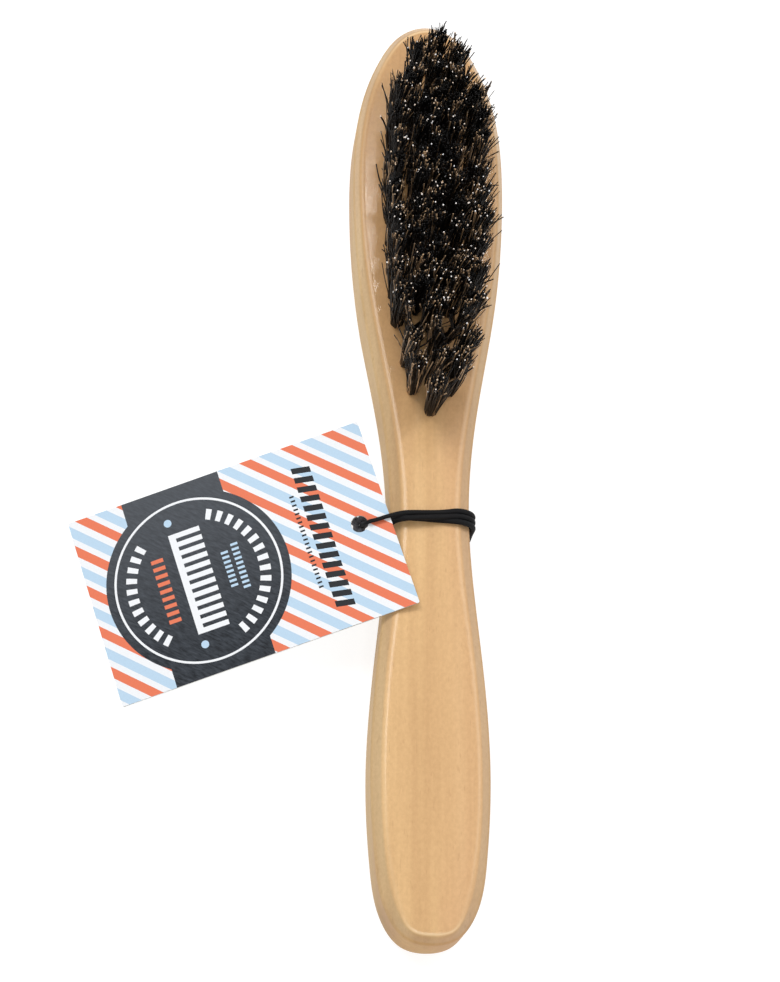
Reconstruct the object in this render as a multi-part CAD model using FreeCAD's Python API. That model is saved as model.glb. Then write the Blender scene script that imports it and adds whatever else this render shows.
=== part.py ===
"""Beard brush: a waisted wooden paddle with bristle tufts, and a card tag held on by a wound elastic.

Millimetres. The brush lies on its back. X runs across it, +Y runs from the handle to the head and +Z
points the way the bristles do. The origin is under the middle of the brush, on what it lies on.
"""
import FreeCAD, Part
import math
import os

os.makedirs("parts", exist_ok=True)
V = FreeCAD.Vector

# Wooden body
THICK = 12.5
BEVEL_DEPTH = 2.2
BACK_RADIUS = 1.3
BELLY_FROM, BELLY_TO, BELLY_LIFT = -60.0, 27.0, 2.0
# Half widths (X) at stations along the body (Y): its full outline, then its flat top inside the bevel.
OUTLINE = [(0, -95), (4.6, -93.9), (7.7, -90.3), (10.3, -79.5), (11.1, -67), (9.85, -41.5), (7.65, -13),
           (9.3, 7), (13.2, 30), (15.2, 56), (13.8, 75), (9.5, 87.4), (5.2, 93.1), (0, 95)]
FLAT = [(0, -93.7), (3.6, -93.0), (5.95, -88.8), (8.1, -79), (8.9, -65), (7.6, -41), (5.15, -14),
        (7.3, 7), (11.5, 30), (14.0, 55.5), (12.5, 74), (8.4, 86.1), (4.5, 91.2), (0, 92.9)]

# Bristle tufts, each folded round a flat wire anchor in a blind hole
HOLE_D, HOLE_DEPTH = 2.4, 7.0
TUFT_D, TUFT_TIP_D, TUFT_HEIGHT = 2.3, 3.6, 15.0
TUFT_LEAN = 0.6                     # how far the outer tufts' tips lean outward
ROWS = 14
CENTRE_FROM, CENTRE_TO = 7.3, 82.6
INNER_X, INNER_FROM, INNER_PITCH = 3.5, 11.6, 5.65
SHOULDER_X = 4.8                    # inner tufts next to each end of the field stand out this far
OUTER_X, OUTER_SWING = 8.0, (0.31, 0.64)
OUTER_FROM_ROW = 3                  # the row that the outer pairs start in, half a pitch past its inner pair
ANCHOR_LENGTH, ANCHOR_HEIGHT, ANCHOR_THICK = 3.2, 1.6, 0.3
FOLD_THICK = 0.4                    # bristle between an anchor and the bottom of its hole
SLIP = 0.05                         # clearance round a part that sits in another

# Card tag, leaning from the floor up on to the handle
CARD_LENGTH, CARD_WIDTH, CARD_THICK = 58.8, 37.8, 0.45
CARD_CORNER_R = 0.3
HOLE_FROM_EDGE, HOLE_OFF_MIDDLE, CARD_HOLE_D = 5.9, 0.6, 3.3
CARD_YAW, CARD_PITCH = 18.5, 13.4
CARD_HOLE_AT = V(-13.58, -16.65, 12.55)

# Elastic: a loop through the card's hole, wound three times round the waist and tied under the card
ELASTIC_D = 1.05
FOLD_R = 1.05                       # where it folds over the rim of the card's hole
EDGE_R = 1.3                        # where it goes over the edges of the bevel
BACK_R = 1.9                        # where it goes round the edges of the back
TURNS, TURN_PITCH = 3, 1.2
TURN_Y = -14.6                      # where the first turn crosses the left edge of the flat top
TOP_RISE, BACK_RISE = 1.1, 1.0      # how far a turn has moved towards the head at its right edges
TURN_TOP = (5.45, 13.2)             # half width and height of the corners of a turn
TURN_SIDE = (8.38, 10.65)
TURN_BACK = (8.38, 1.3)
KNOT_D, KNOT_LENGTH = 3.6, 2.2
KNOT_GAP = 0.15                     # between the knot and the run that leaves its top
KNOT_AT = V(-13.3, -16.15, 9.9)
OVER_HOLE = V(-12.75, -16.7, 14.4)
OVER_EDGE = V(-7.75, -15.45, 15.0)  # over the edge of the card, on the line that it flips about
EDGE_GAP, WAIST_GAP = 0.9, 2.3      # the elastic stops short of that line on the card, and on the waist
TO_KNOT = [(-8.9, -17.9, 5.4), (-11.6, -17.35, 8.1)]


def write(name, shape):
    """Writes one sub-part, after checking that every solid in it is sound."""
    solids = shape.Solids
    if not solids or not all(s.isValid() for s in solids):
        raise ValueError(name + " isn't a valid solid")
    kept = solids[0] if len(solids) == 1 else Part.makeCompound(solids)
    kept.exportStep("parts/" + name + ".step")
    print("%-14s %2d solids %9.2f mm3" % (name, len(solids), sum(s.Volume for s in solids)))


def closed_curve(stations, z):
    """A smooth closed outline at height z, mirrored about the YZ plane, in edges two stations long."""
    right = [V(x, y, z) for x, y in stations]
    left = [V(-x, y, z) for x, y in reversed(stations[1:-1])]
    points = right + left
    curve = Part.BSplineCurve()
    curve.interpolate(Points=points, PeriodicFlag=True)
    first, last = curve.FirstParameter, curve.LastParameter
    ends = [first] + [curve.parameter(p) for p in points[2::2]] + [last]
    return Part.Wire([curve.toShape(a, b) for a, b in zip(ends, ends[1:])])


def spread(first, last, count, i):
    """The i-th of count values evenly spread from first to last."""
    return first + (last - first) * i / (count - 1)


def tuft_places():
    """The tufts of each row, as (x, y): one on the centre line, and pairs beside it in a leaf shape."""
    rows = [[(0.0, spread(CENTRE_FROM, CENTRE_TO, ROWS, i))] for i in range(ROWS)]
    inner = ROWS - 1
    for i in range(inner):
        x = SHOULDER_X if i in (1, inner - 2) else INNER_X
        y = INNER_FROM + INNER_PITCH * i
        rows[i] += [(-x, y), (x, y)]
    outer = range(OUTER_FROM_ROW - 1, inner - 2)
    for i in outer:
        x = OUTER_X * math.sin(math.pi * spread(*OUTER_SWING, len(outer), i - outer[0]))
        y = INNER_FROM + INNER_PITCH * (i + 0.5)
        rows[i] += [(-x, y), (x, y)]
    return rows


def anchor(x, y, slip=0.0):
    """A flat wire anchor across the bottom of a hole. slip makes it larger all round, to cut its slot."""
    size = V(ANCHOR_LENGTH + 2 * slip, ANCHOR_THICK + 2 * slip, ANCHOR_HEIGHT + 2 * slip)
    bottom = THICK - HOLE_DEPTH + FOLD_THICK
    return Part.makeBox(size.x, size.y, size.z, V(x - size.x / 2, y - size.y / 2, bottom - slip))


def tuft(x, y):
    """One tuft: straight in its hole, then opening out and leaning away from the centre line."""
    lean = TUFT_LEAN * x / OUTER_X
    bottom = THICK - HOLE_DEPTH + SLIP
    stages = [(bottom, TUFT_D, 0.0), (THICK, TUFT_D, 0.0),
              (THICK + 0.4 * TUFT_HEIGHT, 0.7 * TUFT_D + 0.3 * TUFT_TIP_D, 0.25),
              (THICK + TUFT_HEIGHT, TUFT_TIP_D, 1.0)]
    rings = [Part.Wire([Part.makeCircle(d / 2, V(x + lean * share, y, z))]) for z, d, share in stages]
    return Part.makeLoft(rings, True, True).cut(anchor(x, y, SLIP))


def wood_body(rows):
    """The paddle: bevelled round its top, hollowed a little under its waist, and drilled for the tufts."""
    outlines = [closed_curve(OUTLINE, 0), closed_curve(OUTLINE, THICK - BEVEL_DEPTH),
                closed_curve(FLAT, THICK)]
    body = Part.makeLoft(outlines, True, True)
    half = (BELLY_TO - BELLY_FROM) / 2
    radius = (half ** 2 + BELLY_LIFT ** 2) / (2 * BELLY_LIFT)
    reach = 2 * max(x for x, y in OUTLINE)
    axis_at = V(-reach / 2 - 1, (BELLY_FROM + BELLY_TO) / 2, BELLY_LIFT - radius)
    body = body.cut(Part.makeCylinder(radius, reach + 2, axis_at, V(1, 0, 0)))
    back = [e for e in body.Edges if e.BoundBox.ZMax < BELLY_LIFT + 0.1 and e.BoundBox.YLength > 1]
    body = body.makeFillet(BACK_RADIUS, back)
    for row in rows:
        cuts = []
        for x, y in row:
            hole = Part.makeCylinder(HOLE_D / 2, HOLE_DEPTH + 1, V(x, y, THICK - HOLE_DEPTH))
            cuts += [hole, anchor(x, y, SLIP)]
        body = body.cut(cuts)
    return body


def placed_card(shape):
    """Moves a shape from the card's own axes, with its hole at the origin, to where the card lies."""
    turn = FreeCAD.Rotation(V(0, 0, 1), CARD_YAW).multiply(FreeCAD.Rotation(V(0, 1, 0), -CARD_PITCH))
    shape.Placement = FreeCAD.Placement(CARD_HOLE_AT, turn)
    return shape


def hang_tag():
    """The card, with rounded corners and the hole that the elastic goes through."""
    corner = V(HOLE_FROM_EDGE - CARD_LENGTH, HOLE_OFF_MIDDLE - CARD_WIDTH / 2, 0)
    card = Part.makeBox(CARD_LENGTH, CARD_WIDTH, CARD_THICK, corner)
    upright = [e for e in card.Edges if e.BoundBox.ZLength > CARD_THICK / 2]
    card = card.makeFillet(CARD_CORNER_R, upright)
    return placed_card(card.cut(Part.makeCylinder(CARD_HOLE_D / 2, CARD_THICK * 3, V(0, 0, -CARD_THICK))))


def rounded_path(points, radii):
    """Straight runs between points, joined by tangent arcs of the given radii at the inner points."""
    edges = []
    at = points[0]
    for i, r in enumerate(radii, 1):
        into, out = (points[i] - points[i - 1]).normalize(), (points[i + 1] - points[i]).normalize()
        half_turn = into.getAngle(out) / 2
        back = r * math.tan(half_turn)
        start, end = points[i] - into * back, points[i] + out * back
        inward = (out - into).normalize()
        middle = points[i] + inward * (r / math.cos(half_turn) - r)
        edges += [Part.LineSegment(at, start).toShape(), Part.Arc(start, middle, end).toShape()]
        at = end
    edges.append(Part.LineSegment(at, points[-1]).toShape())
    return Part.Wire(edges)


def tube(name, points, radii):
    """Elastic along a rounded path. Prints its radii, and its volume beside its section times length."""
    path = rounded_path(points, radii)
    along = (points[1] - points[0]).normalize()
    ring = Part.Wire([Part.makeCircle(ELASTIC_D / 2, points[0], along)])
    solid = path.makePipeShell([ring], True, False)
    even = math.pi * ELASTIC_D ** 2 / 4 * path.Length
    print("%s: radii %s, length %.1f, volume %.2f of %.2f" % (
        name, sorted(set(radii)), path.Length, solid.Volume, even))
    return solid


def turn_corners():
    """The corners of the elastic's turns round the waist, with the radius at each."""
    corners = []
    for k in range(TURNS):
        y, end = TURN_Y - TURN_PITCH * k, TURN_Y - TURN_PITCH * (k + 1)
        corners += [(V(-TURN_TOP[0], y, TURN_TOP[1]), EDGE_R),
                    (V(TURN_TOP[0], y + TOP_RISE, TURN_TOP[1]), EDGE_R),
                    (V(TURN_SIDE[0], y + TOP_RISE, TURN_SIDE[1]), EDGE_R),
                    (V(TURN_BACK[0], y + BACK_RISE, TURN_BACK[1]), BACK_R),
                    (V(-TURN_BACK[0], end, TURN_BACK[1]), BACK_R)]
        if k < TURNS - 1:
            corners.append((V(-TURN_SIDE[0], end, TURN_SIDE[1]), EDGE_R))
    return corners


def elastic_wraps():
    """From just past the card's edge, round the waist, and out from its left side to the knot."""
    corners = turn_corners()
    leaving = (corners[0][0] - OVER_EDGE).normalize()
    side, end = [V(*p) for p in TO_KNOT]
    points = [OVER_EDGE + leaving * WAIST_GAP] + [p for p, r in corners] + [side, end]
    return tube("elastic_wraps", points, [r for p, r in corners] + [EDGE_R])


def elastic_bight():
    """From the knot, up through the card's hole and over the card towards its edge."""
    arriving = (OVER_EDGE - OVER_HOLE).normalize()
    start = KNOT_AT + V(0, 0, KNOT_LENGTH / 2 + KNOT_GAP)
    return tube("elastic_bight", [start, OVER_HOLE, OVER_EDGE - arriving * EDGE_GAP], [FOLD_R])


def elastic_knot():
    """The knot that closes the loop, as a rounded barrel."""
    knot = Part.makeCylinder(KNOT_D / 2, KNOT_LENGTH, KNOT_AT - V(0, 0, KNOT_LENGTH / 2))
    return knot.makeFillet(KNOT_D / 5, [e for e in knot.Edges if e.Closed])


def main():
    rows = tuft_places()
    write("wood_body", wood_body(rows))
    for i, row in enumerate(rows):
        write("tuft_row_%02d" % (i + 1), Part.makeCompound([tuft(x, y) for x, y in row]))
        write("anchor_row_%02d" % (i + 1), Part.makeCompound([anchor(x, y) for x, y in row]))
    write("elastic_wraps", elastic_wraps())
    write("elastic_bight", elastic_bight())
    write("elastic_knot", elastic_knot())
    write("hang_tag", hang_tag())


main()
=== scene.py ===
"""Beard brush: the looks of a waisted wooden paddle with bristle tufts and a card tag on a wound elastic.

Metres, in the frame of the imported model. Sizes written in millimetres are multiplied by MM.
"""
import math

import bmesh
import bpy
import numpy as np
from mathutils import Matrix, Vector


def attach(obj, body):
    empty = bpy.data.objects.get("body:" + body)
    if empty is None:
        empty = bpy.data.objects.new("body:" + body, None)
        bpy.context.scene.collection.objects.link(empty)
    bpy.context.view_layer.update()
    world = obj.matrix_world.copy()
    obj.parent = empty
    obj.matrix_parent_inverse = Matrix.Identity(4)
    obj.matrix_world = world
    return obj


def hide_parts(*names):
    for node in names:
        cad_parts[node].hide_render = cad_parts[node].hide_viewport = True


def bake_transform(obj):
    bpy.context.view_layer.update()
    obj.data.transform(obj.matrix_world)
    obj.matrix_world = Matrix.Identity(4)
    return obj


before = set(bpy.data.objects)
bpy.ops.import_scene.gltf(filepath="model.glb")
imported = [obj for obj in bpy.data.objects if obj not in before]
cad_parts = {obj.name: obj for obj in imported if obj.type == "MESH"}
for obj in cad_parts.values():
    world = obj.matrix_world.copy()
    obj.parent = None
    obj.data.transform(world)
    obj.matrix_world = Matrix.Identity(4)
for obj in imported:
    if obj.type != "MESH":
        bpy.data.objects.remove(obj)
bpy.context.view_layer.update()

MM = 0.001

# Wooden body, in millimetres: half widths (X) at stations along it (Y), for its outline and its flat top
THICK = 12.5
BEVEL_DEPTH = 2.2
BACK_RADIUS = 1.3
BELLY_FROM, BELLY_TO, BELLY_LIFT = -60.0, 27.0, 2.0
OUTLINE = [(0, -95), (4.6, -93.9), (7.7, -90.3), (10.3, -79.5), (11.1, -67), (9.85, -41.5), (7.65, -13),
           (9.3, 7), (13.2, 30), (15.2, 56), (13.8, 75), (9.5, 87.4), (5.2, 93.1), (0, 95)]
FLAT = [(0, -93.7), (3.6, -93.0), (5.95, -88.8), (8.1, -79), (8.9, -65), (7.6, -41), (5.15, -14),
        (7.3, 7), (11.5, 30), (14.0, 55.5), (12.5, 74), (8.4, 86.1), (4.5, 91.2), (0, 92.9)]
SOFT_TOP, SOFT_RIM = 0.9, 0.6       # how far the sanded edges of the bevel reach from their corners
SPAN_STEPS = 14                     # rings between two stations

# Bristle tufts, in millimetres
ROWS = 14
CENTRE_FROM, CENTRE_TO = 7.3, 82.6
INNER_X, INNER_FROM, INNER_PITCH = 3.5, 11.6, 5.65
SHOULDER_X = 4.8
OUTER_X, OUTER_SWING = 8.0, (0.31, 0.64)
OUTER_FROM_ROW = 3
BRISTLES, STRAYS = 124, 11          # in each tuft: those that stand in it, and those that spring out
ROOT_RADIUS = 1.15
BRISTLE_TOP = 15.0                  # height above the wood
BRISTLE_THICK = 0.125               # radius at the root
STRAY_THICK, GLINT_THICK = 1.25, 1.5    # how much thicker than the others
BROWN_THICKER = 0.3
GLINT_SHARE = 0.045                 # bristles with a pale cut end, painted near-white as a glint
HAIR_TAPER = 0.66                   # a bristle's radius at its tip, as a share
SEGMENTS, SIDES = 6, 5              # of a bristle
GAP_STRETCH = 1.6                   # how much longer a gap is along the brush than across it
GAPS = [((-2.7, 27.4), (-4.5, 20.2), 1.55),     # slanting gaps: place at the wood, place at the tips, radius
        ((4.4, 27.8), (2.3, 20.6), 1.55),
        ((3.2, 25.5), (1.1, 18.3), 1.4),
        ((-1.6, 21.4), (-3.4, 14.2), 0.8)]

# Card tag, in millimetres and degrees
CARD_YAW, CARD_PITCH = 18.5, 13.4
CARD_HOLE = Vector((-13.58, -16.65, 12.55))
CARD_THICK = 0.45

# Elastic, in millimetres: the turning point over the card's edge, and its route
OVER_EDGE = Vector((-7.75, -15.45, 15.0))
ELASTIC_RADIUS = 0.525
FROM_KNOT = [(-13.1, -16.3, 10.7), (-12.6, -16.7, 14.05), (-10.4, -16.2, 14.5), (-8.2, -15.5, 15.05)]
TURN_TOPS = [
    [(-5.2, -14.55, 14.4), (-1.8, -14.15, 13.6), (2.0, -13.8, 13.05)],
    [(-7.1, -15.35, 13.6), (-5.0, -15.65, 14.45), (-1.8, -15.35, 14.3), (1.6, -15.0, 13.9)],
    [(-5.6, -15.15, 13.3), (-1.8, -15.15, 13.05), (1.8, -15.35, 13.05)]]
TURN_RIGHT = [-13.3, -14.4, -15.55]     # where each turn goes down the right side
TURN_LEFT = [-15.0, -16.15, -17.4]      # and where it comes up the left side
TO_KNOT = [(-8.6, -17.6, 4.4), (-9.8, -17.6, 6.4), (-11.6, -17.3, 8.1), (-12.6, -16.9, 9.2)]
KNOT_AT = Vector((-13.4, -15.5, 9.8))
KNOT_YARN = 0.56                        # radius of the doubled, bunched elastic in the knot
TUBE_STEP = 0.11                        # between the rings of a braided tube
STRETCHED = 0.74                        # radius where it is pulled tight over the card, as a share
YARNS = 6                               # each way round the braid
BRAID_LEAD = 3.4                        # length in which a yarn goes once round
BRAID_RELIEF = 0.11                     # depth between yarns, as a share of the radius

# Camera and floor, in metres
LENS, SENSOR = 80.65, 36                # in millimetres
CAMERA_AT = (-0.04988, -0.15897, 0.40162)
CAMERA_RIGHT, CAMERA_UP = (0.99413, 0.00201, 0.10815), (-0.04043, 0.93427, 0.35427)
FLOOR_HALF, FLOOR_Z = 12.0, -0.0003


# ---------------------------------------------------------------- shared helpers

def srgb(red, green, blue):
    """A colour given as 0 to 255, as the shader wants it."""
    def linear(v):
        v /= 255
        return v / 12.92 if v <= 0.04045 else ((v + 0.055) / 1.055) ** 2.4
    return linear(red), linear(green), linear(blue), 1.0


def new_object(name, mesh):
    """An object at the origin, in the scene."""
    made = bpy.data.objects.new(name, mesh)
    bpy.context.collection.objects.link(made)
    return made


def mesh_from(name, points, faces, material_of=None):
    """A smooth-shaded mesh from arrays of points (metres) and faces, all with the same corner count."""
    mesh = bpy.data.meshes.new(name)
    faces = np.asarray(faces, np.int32)
    corners = faces.shape[1]
    mesh.vertices.add(len(points))
    mesh.vertices.foreach_set("co", np.asarray(points, np.float32).ravel())
    mesh.loops.add(faces.size)
    mesh.loops.foreach_set("vertex_index", faces.ravel())
    mesh.polygons.add(len(faces))
    mesh.polygons.foreach_set("loop_start", np.arange(0, faces.size, corners, dtype=np.int32))
    if material_of is not None:
        mesh.polygons.foreach_set("material_index", np.asarray(material_of, np.int32))
    mesh.polygons.foreach_set("use_smooth", np.ones(len(faces), bool))
    mesh.update(calc_edges=True)
    return mesh


class Shader:
    """A material being built, with short calls that add its nodes."""

    def __init__(self, name, colour, roughness, **sockets):
        self.material = bpy.data.materials.new(name)
        self.material.use_nodes = True
        self.tree = self.material.node_tree
        self.bsdf = self.tree.nodes["Principled BSDF"]
        self.bsdf.inputs["Base Color"].default_value = colour
        self.bsdf.inputs["Roughness"].default_value = roughness
        for socket, value in sockets.items():
            self.bsdf.inputs[socket.replace("_", " ")].default_value = value

    def node(self, kind, inputs=None, **settings):
        made = self.tree.nodes.new("ShaderNode" + kind)
        for key, value in settings.items():
            setattr(made, key, value)
        for key, value in (inputs or {}).items():
            self.put(made.inputs[key], value)
        return made

    def put(self, socket, value):
        if isinstance(value, bpy.types.NodeSocket):
            self.tree.links.new(value, socket)
        else:
            socket.default_value = value

    def math(self, operation, *values):
        return self.node("Math", dict(enumerate(values)), operation=operation).outputs[0]

    def all_of(self, *masks):
        mask = masks[0]
        for other in masks[1:]:
            mask = self.math("MULTIPLY", mask, other)
        return mask

    def place(self):
        """The place in the row frame at rest, in metres."""
        return self.node("TexCoord").outputs["Object"]

    def stretched(self, scale):
        return self.node("Mapping", {"Vector": self.place(), "Scale": scale}).outputs[0]

    def noise(self, scale, detail=2.0, roughness=0.5, **inputs):
        """Noise from 0 to 1 whose grain is 1 / scale, which may differ along X, Y and Z."""
        at = {"Vector": self.stretched(scale), "Scale": 1.0, "Detail": detail, "Roughness": roughness}
        return self.node("TexNoise", {**at, **inputs}).outputs["Fac"]

    def ramp(self, value, stops, sharp=False):
        """A colour from a value, by (position, colour) stops."""
        made = self.node("ValToRGB", {"Fac": value})
        made.color_ramp.interpolation = "CONSTANT" if sharp else "LINEAR"
        elements = made.color_ramp.elements
        while len(elements) < len(stops):
            elements.new(1.0)
        for element, (position, colour) in zip(elements, stops):
            element.position, element.color = position, colour
        return made.outputs[0]

    def between(self, value, low, high):
        """value scaled so that low gives 0 and high gives 1, clipped."""
        inputs = {"Value": value, "From Min": low, "From Max": high}
        return self.node("MapRange", inputs).outputs[0]

    def mix(self, share, first, second, blend="MIX"):
        made = self.node("Mix", data_type="RGBA", blend_type=blend)
        for socket, value in ((0, share), (6, first), (7, second)):
            self.put(made.inputs[socket], value)
        return made.outputs[2]

    def bump(self, height, distance, strength=1.0):
        inputs = {"Height": height, "Distance": distance, "Strength": strength}
        self.put(self.bsdf.inputs["Normal"], self.node("Bump", inputs).outputs[0])

    def colour(self, value):
        self.put(self.bsdf.inputs["Base Color"], value)

    def roughness(self, value):
        self.put(self.bsdf.inputs["Roughness"], value)


# ---------------------------------------------------------------- materials

def beech(name, lacquer, shine):
    """Pale beech: bands, fine grain, flecks, darker end grain and uneven lacquer, with a painted highlight
    along the top's edges and painted shade on the bevels, sides and the head's top.
    """
    wood = Shader(name, srgb(217, 177, 124), 0.5, Specular_IOR_Level=shine, Coat_Weight=lacquer,
                  Coat_Roughness=0.1)
    bands = wood.noise((170, 7, 60), 2.0, 0.55)
    base = wood.ramp(bands, [(0.32, srgb(204, 161, 111)), (0.5, srgb(219, 178, 125)),
                             (0.68, srgb(228, 189, 136))])
    blush = wood.between(wood.noise((110, 12, 90), 1.0), 0.5, 0.72)
    base = wood.mix(wood.math("MULTIPLY", blush, 0.5), base, srgb(211, 159, 119))
    at = wood.node("SeparateXYZ", {0: wood.place()})
    heart = wood.math("MULTIPLY", wood.between(at.outputs["X"], -0.001, 0.007), 0.6)
    base = wood.mix(heart, base, srgb(208, 163, 117))
    facing = wood.node("SeparateXYZ", {0: wood.node("TexCoord").outputs["Normal"]})
    # Painted shade of the bristles: upward faces darken from the neck onto the head.
    head = wood.all_of(wood.between(at.outputs["Y"], -0.02, 0.045),
                       wood.between(facing.outputs["Z"], 0.6, 0.95))
    base = wood.mix(wood.math("MULTIPLY", head, 0.85), base, srgb(197, 152, 102))
    grain = wood.noise((1500, 45, 700), 4.0, 0.62)
    tone = wood.ramp(grain, [(0.3, (0.93, 0.92, 0.90, 1)), (0.62, (1, 1, 1, 1))])
    base = wood.mix(0.7, base, tone, "MULTIPLY")
    flecks = wood.between(wood.noise((2300, 420, 900), 1.0, 0.4), 0.68, 0.76)
    base = wood.mix(wood.math("MULTIPLY", flecks, 0.25), base, srgb(176, 130, 86))
    mottle = wood.ramp(wood.noise((1500, 1100, 1500), 3.0, 0.75), [(0.36, (0.94, 0.925, 0.905, 1)),
                                                                    (0.64, (1.02, 1.02, 1.02, 1))])
    base = wood.mix(1.0, base, mottle, "MULTIPLY")
    lengthwise = wood.math("ABSOLUTE", facing.outputs["Y"])
    end_grain = wood.math("POWER", lengthwise, 2.0)
    base = wood.mix(wood.math("MULTIPLY", end_grain, 0.22), base, srgb(166, 120, 74))
    # Painted highlight: a pale strip on the rounded edge of the flat top, strongest where the edge turns
    # across the ends.
    edge = wood.all_of(wood.between(facing.outputs["Z"], 0.80, 0.93),
                       wood.between(facing.outputs["Z"], 0.998, 0.96))
    painted_edge_highlight = wood.math("MULTIPLY_ADD", wood.between(lengthwise, 0.12, 0.3), 0.55, 0.15)
    base = wood.mix(wood.math("MULTIPLY", edge, painted_edge_highlight), base, srgb(240, 210, 165))
    # Painted shade with a cool cast: the bevels and sides along the length are darker and bluer than the
    # top.
    bevel_painted_shade = wood.all_of(wood.between(facing.outputs["Z"], 0.86, 0.74), wood.between(lengthwise, 0.85, 0.45))
    base = wood.mix(bevel_painted_shade, base, (0.87, 0.94, 1.05, 1), "MULTIPLY")
    wood.colour(base)
    wood.roughness(wood.math("MULTIPLY_ADD", grain, 0.14, 0.42))
    wood.bump(grain, 0.00005, 0.35)
    peel = {"Height": wood.noise((2600, 2200, 2600), 2.0, 0.6), "Distance": 0.00003, "Strength": 0.7}
    wood.put(wood.bsdf.inputs["Coat Normal"], wood.node("Bump", peel).outputs[0])
    return wood.material


def bristle(name, colours, roughness, shine):
    """Hair whose shade varies from one bristle to the next."""
    hair = Shader(name, colours[0], roughness, Specular_IOR_Level=shine)
    shade = hair.noise((1900, 1900, 90), 1.0)
    hair.colour(hair.ramp(shade, [(0.35, colours[0]), (0.68, colours[1])]))
    return hair.material


def anchor_wire():
    wire = Shader("anchor_wire", srgb(176, 178, 182), 0.35, Metallic=1.0)
    drawn = wire.noise((300, 300, 4000), 2.0)
    wire.roughness(wire.math("MULTIPLY_ADD", drawn, 0.2, 0.25))
    wire.bump(drawn, 0.00002, 0.3)
    return wire.material


def elastic_cloth(name, dark, light):
    """Charcoal yarn with a faint blue sheen."""
    cloth = Shader(name, dark, 0.8, Specular_IOR_Level=0.25, Sheen_Weight=0.03,
                   Sheen_Roughness=0.4, Sheen_Tint=srgb(120, 150, 190))
    fibre = cloth.noise((5200, 5200, 5200), 2.0, 0.6)
    cloth.colour(cloth.ramp(fibre, [(0.35, dark), (0.7, light)]))
    cloth.bump(fibre, 0.00004, 0.5)
    return cloth.material


def card_axes():
    """The card's own directions along, across and out of its printed face."""
    yaw = Matrix.Rotation(math.radians(CARD_YAW), 3, "Z")
    turn = yaw @ Matrix.Rotation(-math.radians(CARD_PITCH), 3, "Y")
    return turn.col[0].copy(), turn.col[1].copy(), turn.col[2].copy()


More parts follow.
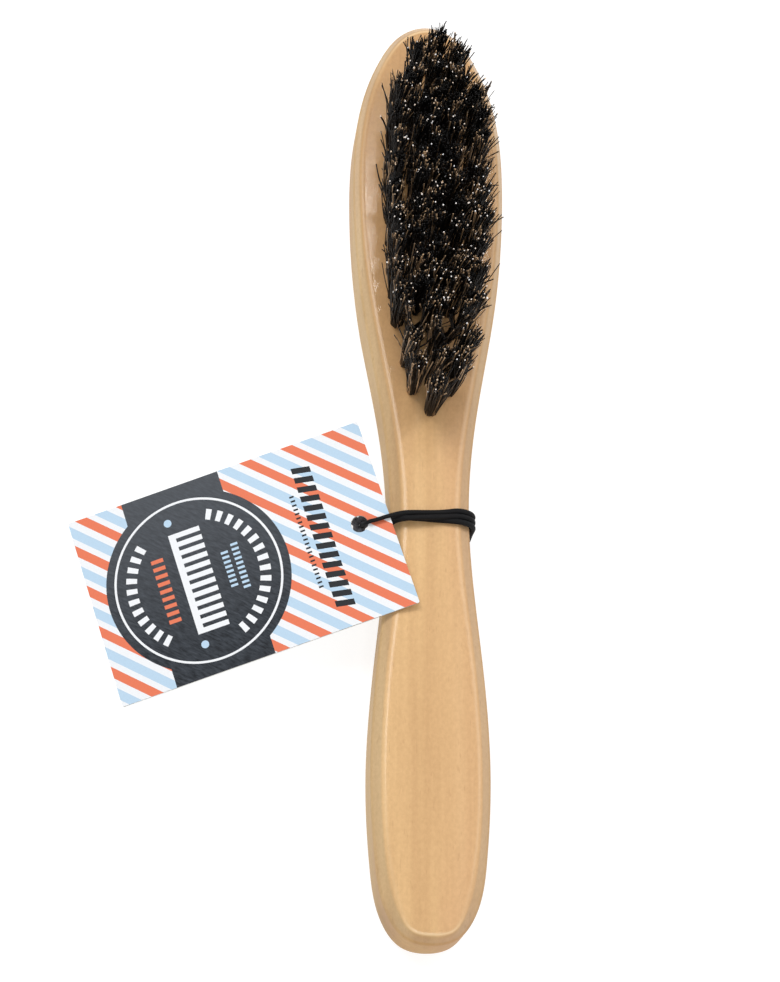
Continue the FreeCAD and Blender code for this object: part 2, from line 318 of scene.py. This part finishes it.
class Print:
    """The card's artwork, in millimetres along (x) and across (y) the card from its hole."""
    WHITE, ORANGE = srgb(237, 239, 242), srgb(229, 121, 87)
    BLUE, CHARCOAL = srgb(185, 211, 232), srgb(30, 33, 38)
    STRIPE_PERIOD, STRIPE_START = 8.35, 32.06
    BAND = (-42.1, -22.6)
    DISC, DISC_RADIUS = (-32.2, 0.2), 17.8
    RING_RADIUS, RING_HALF = 16.0, 0.22
    TICKS, LAST_TICKS = 6.2, (7.75, 5.75)     # ticks to a radian, and where the ticks stop each side
    DOTS, DOT_RADIUS = [(-34.65, 12.8), (-34.65, -12.2)], 0.75

    def __init__(self, shader):
        self.s = shader
        away = shader.node("VectorMath", {0: shader.place(), 1: CARD_HOLE * MM}, operation="SUBTRACT")
        self.x, self.y, self.out = [self.along(away.outputs[0], axis) for axis in card_axes()]

    def along(self, vector, axis):
        made = self.s.node("VectorMath", {0: vector, 1: axis / MM}, operation="DOT_PRODUCT")
        return made.outputs["Value"]

    def near(self, value, middle, half):
        return self.s.math("COMPARE", value, middle, half)

    def radius(self, centre):
        x, y = [self.s.math("SUBTRACT", v, c) for v, c in zip((self.x, self.y), centre)]
        squares = self.s.math("ADD", self.s.math("MULTIPLY", x, x), self.s.math("MULTIPLY", y, y))
        return self.s.math("SQRT", squares), self.s.math("ARCTAN2", y, x)

    def bars(self, middle, half, low, high, count, fill, slant=0.0):
        """A row of plain bars across the card, where a printed line would be."""
        pitch = (high - low) / (count - 1 + fill)
        y = self.s.math("MULTIPLY_ADD", self.s.math("SUBTRACT", self.x, middle), slant, self.y)
        step = self.s.math("FRACT", self.s.math("DIVIDE", self.s.math("SUBTRACT", y, low), pitch))
        inside = self.near(y, (low + high) / 2, (high - low) / 2)
        return self.s.all_of(self.near(self.x, middle, half), inside, self.s.math("LESS_THAN", step, fill))

    def bar(self, x, half_x, y, half_y):
        return self.s.all_of(self.near(self.x, x, half_x), self.near(self.y, y, half_y))

    def stripes(self):
        along = self.s.math("DIVIDE", self.s.math("ADD", self.s.math("ADD", self.x, self.y),
                                                  self.STRIPE_START), self.STRIPE_PERIOD)
        stops = [(0.0, self.ORANGE), (0.287, self.WHITE), (0.473, self.BLUE), (0.772, self.WHITE)]
        return self.s.ramp(self.s.math("FRACT", along), stops, sharp=True)

    def slate(self):
        """Charcoal with faint slanting scratches, and a painted sheen that lightens it towards the head of
        the brush.
        """
        s = self.s
        slant = {"X": s.math("ADD", self.x, self.y), "Y": s.math("SUBTRACT", self.x, self.y)}
        turned = s.node("CombineXYZ", slant).outputs[0]
        across = s.node("Mapping", {"Vector": turned, "Scale": (1.6, 0.35, 1)})
        scratch = s.node("TexNoise", {"Vector": across.outputs[0], "Scale": 1.0, "Detail": 4.0,
                                      "Roughness": 0.65}).outputs["Fac"]
        dark = s.ramp(scratch, [(0.36, srgb(16, 22, 30)), (0.72, srgb(62, 68, 76))])
        # Painted sheen: lighter towards the head of the brush.
        return s.mix(s.math("MULTIPLY", s.between(self.y, -12.0, 22.0), 0.5), dark, srgb(96, 100, 106))

    def artwork(self):
        """Stripes, and a charcoal disc with a comb, bars and ticks where a label would have words."""
        s = self.s
        from_disc, angle = self.radius(self.DISC)
        disc = s.math("LESS_THAN", from_disc, self.DISC_RADIUS)
        band = self.near(self.x, sum(self.BAND) / 2, (self.BAND[1] - self.BAND[0]) / 2)
        inked = s.mix(s.math("MAXIMUM", disc, band), self.stripes(), self.slate())
        ring = self.near(from_disc, self.RING_RADIUS, self.RING_HALF)
        swing = s.math("ABSOLUTE", angle)
        back = s.math("SUBTRACT", math.pi, swing)
        turn = [s.math("MULTIPLY_ADD", way, self.TICKS, 0.25) for way in (swing, back)]
        ticks = [s.all_of(s.math("LESS_THAN", way, last), s.math("LESS_THAN", s.math("FRACT", way), 0.5))
                 for way, last in zip(turn, self.LAST_TICKS)]
        lines = s.all_of(self.near(from_disc, 12.9, 1.05), s.math("MAXIMUM", *ticks))
        x, y = self.DISC
        comb = s.math("MAXIMUM", self.bars(x, 3.1, y - 10.2, y + 10.2, 12, 0.56),
                      self.bar(x - 2.45, 0.65, y, 10.2))
        white = s.math("MAXIMUM", s.math("MAXIMUM", ring, lines), comb)
        inked = s.mix(white, inked, self.WHITE)
        inked = s.mix(self.bars(x - 6.5, 1.2, y - 6.5, y + 6.5, 9, 0.5), inked, self.ORANGE)
        pale = s.math("MAXIMUM", self.bars(x + 6.2, 0.7, y - 3.6, y + 3.6, 8, 0.5),
                      self.bars(x + 8.4, 0.7, y - 4.6, y + 4.6, 10, 0.5))
        for centre in self.DOTS:
            pale = s.math("MAXIMUM", pale, s.math("LESS_THAN", self.radius(centre)[0], self.DOT_RADIUS))
        inked = s.mix(pale, inked, self.BLUE)
        mark = s.math("MAXIMUM", self.bars(-7.3, 1.8, y - 14.4, y + 14.4, 15, 0.6, 0.2),
                      self.bars(-10.6, 0.45, y - 9.5, y + 9.5, 22, 0.4))
        return s.mix(mark, inked, self.CHARCOAL)


def printed_card():
    """Uncoated white board, printed on the face that looks up."""
    card = Shader("printed_card", Print.WHITE, 0.55, Specular_IOR_Level=0.25)
    art = Print(card)
    printed = card.math("GREATER_THAN", art.out, CARD_THICK - 0.02)
    fibre = card.noise((3000, 3000, 3000), 3.0, 0.7)
    board = card.ramp(fibre, [(0.3, srgb(188, 188, 184)), (0.7, srgb(214, 214, 211))])
    tone = card.ramp(fibre, [(0.3, (0.95, 0.95, 0.95, 1)), (0.65, (1, 1, 1, 1))])
    card.colour(card.mix(printed, board, card.mix(1.0, art.artwork(), tone, "MULTIPLY")))
    card.roughness(card.math("MULTIPLY_ADD", fibre, 0.2, 0.45))
    card.bump(fibre, 0.00003, 0.35)
    return card.material


# ---------------------------------------------------------------- wooden body

def closed_spline(points, steps):
    """A smooth closed curve through points, as the same number of steps in each span."""
    at = np.array(points, float)
    count = len(at)
    ahead = np.roll(at, -1, 0) - at
    span = np.linalg.norm(ahead, axis=1)
    slope = ahead / span[:, None]
    table = np.zeros((count, count))
    for i in range(count):
        table[i, i - 1] += span[i - 1]
        table[i, i] += 2 * (span[i - 1] + span[i])
        table[i, (i + 1) % count] += span[i]
    bend = np.linalg.solve(table, 6 * (slope - np.roll(slope, 1, 0)))
    curve = []
    for i in range(count):
        h, p, q = span[i], at[i], at[(i + 1) % count]
        m, n = bend[i], bend[(i + 1) % count]
        for step in range(steps):
            a = h * step / steps
            b = h - a
            bow = (m * b ** 3 + n * a ** 3) / (6 * h)
            curve.append(bow + (p / h - m * h / 6) * b + (q / h - n * h / 6) * a)
    return np.array(curve)


def half_outline(stations):
    """The right half of a mirrored outline, from the handle's end to the head's."""
    loop = list(stations) + [(-x, y) for x, y in reversed(stations[1:-1])]
    return closed_spline(loop, SPAN_STEPS)[:(len(stations) - 1) * SPAN_STEPS + 1]


def underside(y):
    """Height of the back: flat, but hollowed under the waist."""
    half = (BELLY_TO - BELLY_FROM) / 2
    off = abs(y - (BELLY_FROM + BELLY_TO) / 2)
    if off >= half:
        return 0.0
    radius = (half ** 2 + BELLY_LIFT ** 2) / (2 * BELLY_LIFT)
    return BELLY_LIFT - radius + math.sqrt(radius ** 2 - off ** 2)


def rounded_corner(corner, start, end, steps=5):
    """Points of a soft corner, with one more close on each side that keeps the faces there flat."""
    near = 0.12
    points = [start + (start - corner) * near]
    for i in range(steps + 1):
        t = i / steps
        points.append(start * (1 - t) ** 2 + corner * 2 * t * (1 - t) + end * t ** 2)
    return points + [end + (end - corner) * near]


def section(rim, flat, outward):
    """Half of a cross-section, from the middle of the back round to the middle of the top."""
    bottom = rim - outward * BACK_RADIUS
    low = underside(bottom.y)
    points = [Vector((0, bottom.y, low)), Vector((bottom.x * 0.5, bottom.y, low))]
    for i in range(7):
        a = math.pi / 2 * i / 6
        points.append(bottom + outward * BACK_RADIUS * math.sin(a)
                      + Vector((0, 0, low + BACK_RADIUS * (1 - math.cos(a)))))
    shoulder = rim + Vector((0, 0, THICK - BEVEL_DEPTH))
    edge = flat + Vector((0, 0, THICK))
    bevel = (edge - shoulder).normalized()
    points.append(rim + Vector((0, 0, (low + THICK - BEVEL_DEPTH) / 2)))
    points += rounded_corner(shoulder, shoulder - Vector((0, 0, SOFT_RIM)), shoulder + bevel * SOFT_RIM)
    points += rounded_corner(edge, edge - bevel * SOFT_TOP, edge - outward * SOFT_TOP)
    inner = points[-1]
    points += [Vector((inner.x * share, inner.y, THICK)) for share in (0.66, 0.33, 0)]
    return points


def wooden_body():
    rims, flats = half_outline(OUTLINE), half_outline(FLAT)
    rings = []
    for i in range(len(rims)):
        ahead = rims[min(i + 1, len(rims) - 1)] - rims[max(i - 1, 0)]
        outward = Vector((ahead[1], -ahead[0], 0)).normalized()
        if i in (0, len(rims) - 1):
            outward = Vector((0, -1 if i == 0 else 1, 0))
        half = section(Vector((*rims[i], 0)), Vector((*flats[i], 0)), outward)
        left = [Vector((-p.x, p.y, p.z)) for p in reversed(half[1:-1])]
        rings.append(half + left)
    around = len(rings[0])
    points = np.array([[p * MM for p in ring] for ring in rings]).reshape(-1, 3)
    faces = [(i * around + j, i * around + (j + 1) % around, (i + 1) * around + (j + 1) % around,
              (i + 1) * around + j) for i in range(len(rings) - 1) for j in range(around)]
    mesh = mesh_from("paddle", points, faces)
    shape = bmesh.new()
    shape.from_mesh(mesh)
    bmesh.ops.remove_doubles(shape, verts=shape.verts, dist=2e-6)
    bmesh.ops.recalc_face_normals(shape, faces=shape.faces)
    shape.to_mesh(mesh)
    shape.free()
    paddle = new_object("paddle", mesh)
    mesh.materials.append(beech("beech", 0.35, 0.3))
    mesh.materials.append(beech("beech_side", 0.0, 0.05))
    for face in mesh.polygons:
        face.material_index = int(face.center.z < (THICK - BEVEL_DEPTH + SOFT_RIM) * MM)
    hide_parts("wood_body")
    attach(paddle, "brush")


# ---------------------------------------------------------------- bristles

def spread(first, last, count, i):
    return first + (last - first) * i / (count - 1)


def tuft_places():
    """The tufts of each row, as (x, y) in millimetres."""
    rows = [[(0.0, spread(CENTRE_FROM, CENTRE_TO, ROWS, i))] for i in range(ROWS)]
    inner = ROWS - 1
    for i in range(inner):
        x = SHOULDER_X if i in (1, inner - 2) else INNER_X
        y = INNER_FROM + INNER_PITCH * i
        rows[i] += [(-x, y), (x, y)]
    outer = range(OUTER_FROM_ROW - 1, inner - 2)
    for i in outer:
        x = OUTER_X * math.sin(math.pi * spread(*OUTER_SWING, len(outer), i - outer[0]))
        y = INNER_FROM + INNER_PITCH * (i + 0.5)
        rows[i] += [(-x, y), (x, y)]
    return rows


def tuft_lines(x, y, rng):
    """One tuft's bristles, as (bristle, ring, xyz) in millimetres, and how likely each is to be brown."""
    n = BRISTLES + STRAYS
    turn = rng.uniform(0, 2 * math.pi, n)
    rim = np.stack([np.cos(turn), np.sin(turn)], 1) * np.sqrt(rng.uniform(0, 1, n))[:, None]
    lean = np.array([x * 0.03 + 0.35, 0.1]) + rng.normal(0, 0.45, 2)
    reach = rim * rng.uniform(0.2, 1.05, n)[:, None] + lean + rng.normal(0, 0.58, (n, 2))
    drop = np.where(rng.uniform(0, 1, n) < 0.15, rng.uniform(0.5, 3, n), 0)
    height = BRISTLE_TOP + rng.normal(0, 0.35, n) - drop
    out = rng.normal(0.5 if x > -1 else 2.6, 0.8, STRAYS)
    far = rng.uniform(1.3, 4.3 if x > -1 else 3.4, STRAYS)
    reach[BRISTLES:] = np.stack([np.cos(out), np.sin(out)], 1) * far[:, None]
    height[BRISTLES:] = BRISTLE_TOP - rng.uniform(-0.3, 4.0, STRAYS)
    height = np.sqrt(np.maximum(height ** 2 - (0.9 * np.linalg.norm(reach, axis=1)) ** 2, 60))
    along = np.linspace(0, 1, SEGMENTS + 1)
    sideways = along[None, :] ** rng.uniform(1.1, 2.2, n)[:, None]
    wave = np.sin(along * math.pi)[None, :, None] * rng.normal(0, 0.3, (n, 1, 2))
    lines = np.empty((n, SEGMENTS + 1, 3))
    base = np.array([x, y]) + rim * ROOT_RADIUS
    lines[:, :, :2] = base[:, None, :] + reach[:, None, :] * sideways[:, :, None] + wave
    lines[:, :, 2] = THICK - 0.6 + along[None, :] * (height[:, None] + 0.6)
    rise = np.clip((lines[:, :, 2:] - THICK) / BRISTLE_TOP, 0, 1)
    for low, high, radius in GAPS:
        middle = np.array(low) * (1 - rise) + np.array(high) * rise
        x_off, y_off = np.moveaxis(lines[:, :, :2] - middle, 2, 0)
        half = np.sqrt(np.maximum(radius ** 2 - (y_off / GAP_STRETCH) ** 2, 0))
        half *= np.minimum(rise[:, :, 0] * 4, 1)
        half *= rng.uniform(0.65, 1.1, (n, 1))
        way = np.sign(x_off[:, SEGMENTS - 2:SEGMENTS - 1])
        push = np.where(np.abs(x_off) < half, np.abs(way * half - x_off), 0)
        lines[:, :, 0] += way * np.maximum.accumulate(push, axis=1)     # a hair stays aside up to its tip
    streak = np.cos(turn - rng.uniform(0, 2 * math.pi)) > 0.91
    return lines, np.where(streak, 0.6, 0.04 if y > 35 else 0.12)


def hair_mesh(name, lines, thick, shades):
    """Tapered hairs along lines. shades holds each hair's material slots: for its length, for its tip."""
    n, rings = lines.shape[:2]
    ahead = np.gradient(lines, axis=1)
    ahead /= np.linalg.norm(ahead, axis=2, keepdims=True)
    side = np.cross(ahead, np.array([0.0, 1.0, 0.0]))
    side /= np.linalg.norm(side, axis=2, keepdims=True)
    other = np.cross(ahead, side)
    thick = thick[:, None] * np.linspace(1.0, HAIR_TAPER, rings)[None, :]
    angle = np.arange(SIDES) * 2 * math.pi / SIDES
    ring = side[:, :, None] * np.cos(angle)[:, None] + other[:, :, None] * np.sin(angle)[:, None]
    points = lines[:, :, None] + ring * thick[:, :, None, None]
    first = (np.arange(n) * rings * SIDES)[:, None, None]
    row = (np.arange(rings - 1) * SIDES)[None, :, None]
    a = np.arange(SIDES)
    b = (a + 1) % SIDES
    low = first + row
    quads = np.stack([low + a, low + b, low + SIDES + b, low + SIDES + a], -1)
    slots = np.repeat(shades[:, :1], rings - 1, 1)
    slots[:, -1] = shades[:, 1]
    mesh = mesh_from(name, points.reshape(-1, 3) * MM, quads.reshape(-1, 4),
                     np.repeat(slots.ravel(), SIDES))
    shape = bmesh.new()
    shape.from_mesh(mesh)
    shape.verts.ensure_lookup_table()
    for i in range(n):
        for end, order in ((0, -1), (rings - 1, 1)):
            start = (i * rings + end) * SIDES
            cap = shape.faces.new([shape.verts[start + k] for k in range(SIDES)][::order])
            cap.material_index = int(shades[i, 1 if end else 0])
    shape.to_mesh(mesh)
    shape.free()
    return mesh


def bristle_field():
    """One piece for each row of tufts."""
    # The third material paints the bristles' pale cut ends near-white, as glints.
    hairs = [bristle("bristle_black", (srgb(8, 7, 7), srgb(22, 18, 17)), 0.55, 0.28),
             bristle("bristle_brown", (srgb(82, 62, 45), srgb(208, 172, 132)), 0.5, 0.4),
             bristle("bristle_tip_glint", (srgb(226, 196, 164), srgb(250, 252, 255)), 0.3, 0.5)]
    for i, row in enumerate(tuft_places()):
        rng = np.random.default_rng(100 + i)
        tufts = [tuft_lines(x, y, rng) for x, y in row]
        lines = np.concatenate([tuft for tuft, _ in tufts])
        brown = np.concatenate([share for _, share in tufts])
        kind = (rng.uniform(0, 1, len(lines)) < brown).astype(int)
        # Painted glints: a few thicker bristles end in a pale to near-white tip.
        glint = rng.uniform(0, 1, len(lines)) < GLINT_SHARE
        tip = np.where(glint, 2, kind)
        thick = BRISTLE_THICK * rng.uniform(0.75, 1.15, len(lines))
        thick = thick * np.where(glint, GLINT_THICK, 1) * (1 + BROWN_THICKER * kind)
        thick[np.arange(len(lines)) % (BRISTLES + STRAYS) >= BRISTLES] *= STRAY_THICK
        longer = lines[:, -1:] + (lines[:, -1:] - lines[:, -2:-1]) * 0.1
        mesh = hair_mesh("bristles", np.concatenate([lines, longer], 1), thick, np.stack([kind, tip], 1))
        for hair in hairs:
            mesh.materials.append(hair)
        piece = new_object("bristles_row_%02d" % (i + 1), mesh)
        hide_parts("tuft_row_%02d" % (i + 1))
        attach(piece, "brush")


# ---------------------------------------------------------------- elastic

def spline_through(points, name):
    """The line of a smooth open spline with these control points (millimetres), as points in metres."""
    curve = bpy.data.curves.new(name, "CURVE")
    curve.dimensions = "3D"
    curve.resolution_u = 24
    line = curve.splines.new("NURBS")
    line.points.add(len(points) - 1)
    for control, p in zip(line.points, points):
        control.co = (*(Vector(p) * MM), 1)
    line.order_u = 3
    line.use_endpoint_u = True
    holder = new_object(name, curve)
    bpy.context.view_layer.update()
    mesh = bpy.data.meshes.new_from_object(holder.evaluated_get(bpy.context.evaluated_depsgraph_get()))
    path = np.empty(len(mesh.vertices) * 3)
    mesh.vertices.foreach_get("co", path)
    bpy.data.objects.remove(holder)
    bpy.data.curves.remove(curve)
    bpy.data.meshes.remove(mesh)
    return path.reshape(-1, 3)


def evenly(path, step):
    """The same path with its points a step apart, and its length."""
    run = np.concatenate([[0], np.cumsum(np.linalg.norm(np.diff(path, axis=0), axis=1))])
    at = np.linspace(0, run[-1], max(4, round(run[-1] / step)))
    return np.stack([np.interp(at, run, path[:, k]) for k in range(3)], 1), run[-1]


def braided_tube(name, path, radius_at, around=30):
    """A closed tube along path with the relief of a braid. radius_at gives its radius along it."""
    count = len(path)
    ahead = np.gradient(path, axis=0)
    ahead /= np.linalg.norm(ahead, axis=1, keepdims=True)
    side = np.empty_like(path)
    side[0] = np.cross(ahead[0], (0.3, 0.9, 0.2))
    side[0] /= np.linalg.norm(side[0])
    for i in range(1, count):
        side[i] = side[i - 1] - ahead[i] * np.dot(side[i - 1], ahead[i])
        side[i] /= np.linalg.norm(side[i])
    other = np.cross(ahead, side)
    run = np.concatenate([[0], np.cumsum(np.linalg.norm(np.diff(path, axis=0), axis=1))])
    angle = np.arange(around) * 2 * math.pi / around
    twist = run[:, None] * 2 * math.pi / (BRAID_LEAD * MM)
    one, two = [np.abs(np.cos(YARNS / 2 * (angle[None, :] + way * twist))) for way in (1, -1)]
    relief = 1 - BRAID_RELIEF * (1 - np.maximum(one, two))
    radius = np.array([radius_at(p) for p in path])
    for k, share in enumerate((0.55, 0.85, 0.96)):
        radius[k] *= share
        radius[-1 - k] *= share
    reach = radius[:, None] * relief
    points = (path[:, None] + side[:, None] * (np.cos(angle) * reach)[:, :, None]
              + other[:, None] * (np.sin(angle) * reach)[:, :, None])
    a = np.arange(around)
    b = (a + 1) % around
    row = (np.arange(count - 1) * around)[:, None]
    quads = np.stack([row + a, row + b, row + around + b, row + around + a], -1).reshape(-1, 4)
    mesh = mesh_from(name, points.reshape(-1, 3), quads)
    shape = bmesh.new()
    shape.from_mesh(mesh)
    shape.verts.ensure_lookup_table()
    for start, order in ((0, -1), ((count - 1) * around, 1)):
        shape.faces.new([shape.verts[start + k] for k in range(around)][::order]).smooth = True
    bmesh.ops.recalc_face_normals(shape, faces=shape.faces)
    shape.to_mesh(mesh)
    shape.free()
    return mesh


def elastic_route():
    """Control points from the knot, through the card's hole, round the waist and back to the knot."""
    route = list(FROM_KNOT)
    for top, right, left in zip(TURN_TOPS, TURN_RIGHT, TURN_LEFT):
        fall = left - right
        route += top
        route += [(5.6, right, 13.4), (8.6, right, 10.9), (8.3, right - 0.1, 6.6), (8.4, right - 0.3, 1.3),
                  (4.0, right + 0.3 * fall, 1.35), (-4.0, right + 0.75 * fall, 1.35), (-8.4, left, 1.3)]
        if left != TURN_LEFT[-1]:
            route += [(-8.3, left, 6.6), (-8.6, left, 10.6)]
    return route + TO_KNOT


def elastic_radius(place):
    """Thinner where it is stretched over the card."""
    from_card = (place[0] / MM - OVER_EDGE.x + 0.6) / 3.0
    over_card = place[2] > 11.5 * MM
    share = min(1.0, max(0.0, from_card)) if over_card else 1.0
    return ELASTIC_RADIUS * (STRETCHED + (1 - STRETCHED) * share) * MM


def elastic(material):
    path, length = evenly(spline_through(elastic_route(), "elastic_route"), TUBE_STEP * MM)
    piece = new_object("elastic", braided_tube("elastic", path, elastic_radius))
    piece.data.materials.append(material)
    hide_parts("elastic_wraps", "elastic_bight")
    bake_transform(piece)
    return piece, path, length


def knot(material):
    """An overhand knot with two cut tails."""
    turns = []
    for i in range(25):
        t = math.radians(15 + 330 * i / 24)
        turns.append((math.sin(t) + 2 * math.sin(2 * t), math.cos(t) - 2 * math.cos(2 * t),
                      -math.sin(3 * t)))
    tied = [KNOT_AT + Vector((0.5 * a, 0.5 * b, 0.6 * c)) for a, b, c in turns]
    ways = [Vector((-0.9, -0.5, -1.4)), Vector((0.3, -1.0, -1.5))]
    ends = zip((tied[0], tied[-1]), ways)
    tails = [[end + way * share for share in (1.0, 2.0, 2.9)] for end, way in ends]
    points = tails[0][::-1] + tied + tails[1]
    path, _ = evenly(spline_through(points, "knot_route"), TUBE_STEP * MM)
    piece = new_object("knot", braided_tube("knot", path, lambda p: KNOT_YARN * MM))
    piece.data.materials.append(material)
    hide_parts("elastic_knot")
    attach(piece, "loop")
    return piece


# ---------------------------------------------------------------- stage

def dress_cad_nodes():
    """Better materials for the CAD nodes that stay."""
    wire, card = anchor_wire(), printed_card()
    for name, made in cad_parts.items():
        if name.startswith("anchor_row"):
            made.data.materials.clear()
            made.data.materials.append(wire)
    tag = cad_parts["hang_tag"]
    tag.data.materials.clear()
    tag.data.materials.append(card)
    return tag


def floor():
    plane = new_object("floor", bpy.data.meshes.new("floor"))
    half, z = FLOOR_HALF, FLOOR_Z
    corners = [(-half, -half, z), (half, -half, z), (half, half, z), (-half, half, z)]
    plane.data.from_pydata(corners, [], [(0, 1, 2, 3)])
    paper = Shader("floor_paper", (0.35, 0.35, 0.35, 1), 0.9, Specular_IOR_Level=0.0,
                   Emission_Color=(1, 1, 1, 1), Emission_Strength=0.78)
    plane.data.materials.append(paper.material)


def area_light(name, place, aim, size, watts):
    light = bpy.data.lights.new(name, "AREA")
    light.size = size
    light.energy = watts
    made = bpy.data.objects.new(name, light)
    made.location = place
    made.rotation_euler = (Vector(aim) - Vector(place)).to_track_quat("-Z", "Y").to_euler()
    bpy.context.collection.objects.link(made)


def lights():
    world = bpy.data.worlds.new("studio")
    bpy.context.scene.world = world
    world.use_nodes = True
    world.node_tree.nodes["Background"].inputs["Color"].default_value = (1, 1, 1, 1)
    world.node_tree.nodes["Background"].inputs["Strength"].default_value = 0.42
    area_light("left", (-0.35, 0.38, 0.86), (0, 0, 0), 0.42, 4.1)
    area_light("right", (0.62, 0.36, 0.75), (0, 0, 0), 0.6, 3.0)
    area_light("head_sheen", (0.075, 0.50, 0.897), (0, 0.043, 0), 0.08, 0.75)
    area_light("front_fill", (-0.10, -0.36, 0.93), (0, 0, 0), 0.2, 1.0)
    area_light("front_edge", (0.125, -0.35, 0.97), (0, -0.09, 0), 0.15, 0.85)


def camera():
    view = bpy.data.cameras.new("camera")
    view.lens = LENS
    view.sensor_width = SENSOR
    view.clip_start = 0.02
    made = bpy.data.objects.new("camera", view)
    right, up = Vector(CAMERA_RIGHT), Vector(CAMERA_UP)
    turn = Matrix((right, up, right.cross(up))).transposed().to_4x4()
    made.matrix_world = Matrix.Translation(CAMERA_AT) @ turn
    bpy.context.collection.objects.link(made)
    bpy.context.scene.camera = made


def main():
    bpy.context.scene.view_settings.view_transform = "Standard"
    camera()
    lights()
    floor()
    tag = dress_cad_nodes()
    cord, path, length = elastic(elastic_cloth("elastic", srgb(8, 8, 9), srgb(25, 24, 26)))
    # The knot's grey, lighter than the elastic it is tied from, is painted shade: through the card's hole it
    # shows as the grey of shade below the card.
    tied = knot(elastic_cloth("elastic_knot", srgb(66, 66, 70), srgb(98, 98, 103)))
    wooden_body()
    bristle_field()


main()
